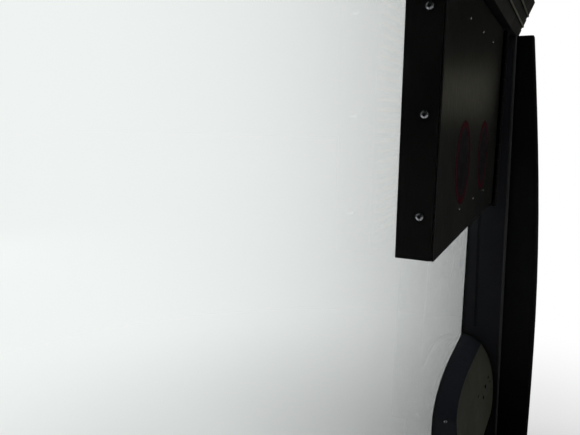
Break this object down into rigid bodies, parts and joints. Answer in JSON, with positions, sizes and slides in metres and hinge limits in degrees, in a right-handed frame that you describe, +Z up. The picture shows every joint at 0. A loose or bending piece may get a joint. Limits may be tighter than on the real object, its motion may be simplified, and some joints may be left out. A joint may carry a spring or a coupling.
{
  "type": "bus side window bay with sign cabinet",
  "caption": "Side window bay of a passenger bus: steel frame, bonded pane, moulded linings, corner housing and a slim sign cabinet hinged to the front post.",
  "frame": {"origin": "centre of the four bolt holes on the underside of the waist rail", "axes": "+X towards the front of the bus, +Y towards the outside of the bus, +Z up"},
  "size_m": [1.72, 0.211, 1.29],
  "materials": {
    "frame_steel": "satin paint",
    "pane_glass": "clear, faint green tint",
    "black_rubber": "matt",
    "lining_plastic": "fine grained",
    "cove_plastic": "fine grained",
    "pale_strip": "satin",
    "edge_plastic": "satin",
    "casing_plastic": "satin",
    "housing_plastic": "satin",
    "hinge_steel": "satin paint",
    "pin_steel": "plain",
    "cabinet_paint": "satin powder paint",
    "clear_sheet": "clear, lightly smoked",
    "rail_aluminium": "plain",
    "tile_plastic": "matt"
  },
  "bodies": {
    "bay": {"waist_rail": "frame_steel", "cantrail": "frame_steel", "rear_post": "frame_steel", "front_post": "frame_steel", "pane": "pane_glass", "pane_seal": "black_rubber", "sill_lining": "lining_plastic", "cove_lining": "cove_plastic", "cove_strip_low": "pale_strip", "cove_strip_high": "pale_strip", "rear_post_trim": "lining_plastic", "front_post_trim": "lining_plastic", "post_edge_strip": "edge_plastic", "pillar_casing": "casing_plastic", "corner_housing": "housing_plastic", "housing_back": "casing_plastic", "hinge_bracket": "frame_steel", "fixed_leaf": "hinge_steel", "hinge_pin": "pin_steel", "stop_angle": "frame_steel", "stop_buffer": "black_rubber"},
    "sign_cabinet": {"cabinet_cover": "cabinet_paint", "case_top": "cabinet_paint", "case_bottom": "cabinet_paint", "rear_end_plate": "cabinet_paint", "front_end_plate": "cabinet_paint", "display_window": "clear_sheet", "window_gasket": "black_rubber", "tile_rail_low": "rail_aluminium", "tile_rail_mid": "rail_aluminium", "tile_rail_high": "rail_aluminium", "tile_1_1": "tile_plastic", "tile_2_1": "tile_plastic", "tile_3_1": "tile_plastic", "tile_4_1": "tile_plastic", "tile_1_2": "tile_plastic", "tile_2_2": "tile_plastic", "tile_3_2": "tile_plastic", "tile_4_2": "tile_plastic", "moving_leaf": "hinge_steel", "cable_gland": "casing_plastic"}
  },
  "joints": [
    {"name": "cabinet_swing", "type": "hinge", "parent": "bay", "child": "sign_cabinet", "pos_m": [0.648, -0.053, 0.9625], "axis": [0, 0, 1], "range_deg": [0, 80]}
  ]
}
